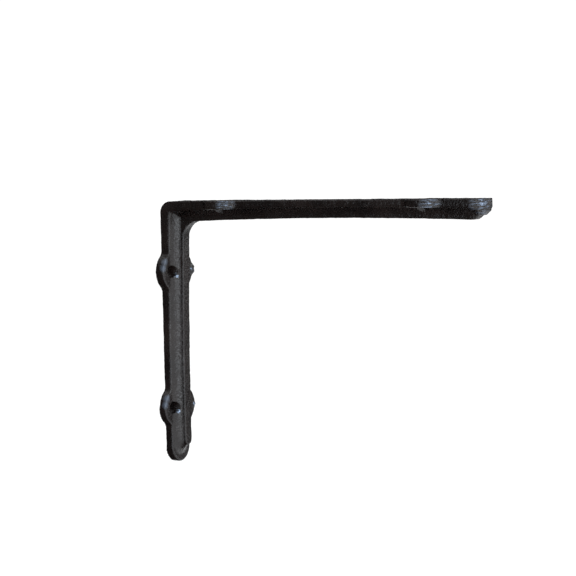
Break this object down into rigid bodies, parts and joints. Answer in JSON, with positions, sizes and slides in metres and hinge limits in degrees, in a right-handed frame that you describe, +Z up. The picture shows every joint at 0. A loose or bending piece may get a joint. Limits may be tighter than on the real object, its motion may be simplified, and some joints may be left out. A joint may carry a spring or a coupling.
{
  "type": "cast iron shelf bracket",
  "caption": "L-shaped cast iron shelf bracket with a flat strip, a rounded stiffening rib on its inner side and round screw ears, to carry a shelf on a wall.",
  "frame": {"origin": "on the flat back of the upright, on its centre line, midway between its two pairs of screw ears", "axes": "+X out of the wall along the arm, +Y across the bracket, +Z up towards the shelf"},
  "size_m": [0.2, 0.0316, 0.15],
  "materials": {
    "black_painted_cast_iron": "semi-gloss black paint over a fine sand-cast surface"
  },
  "bodies": {
    "root": {"bracket_casting": "black_painted_cast_iron"}
  },
  "joints": []
}
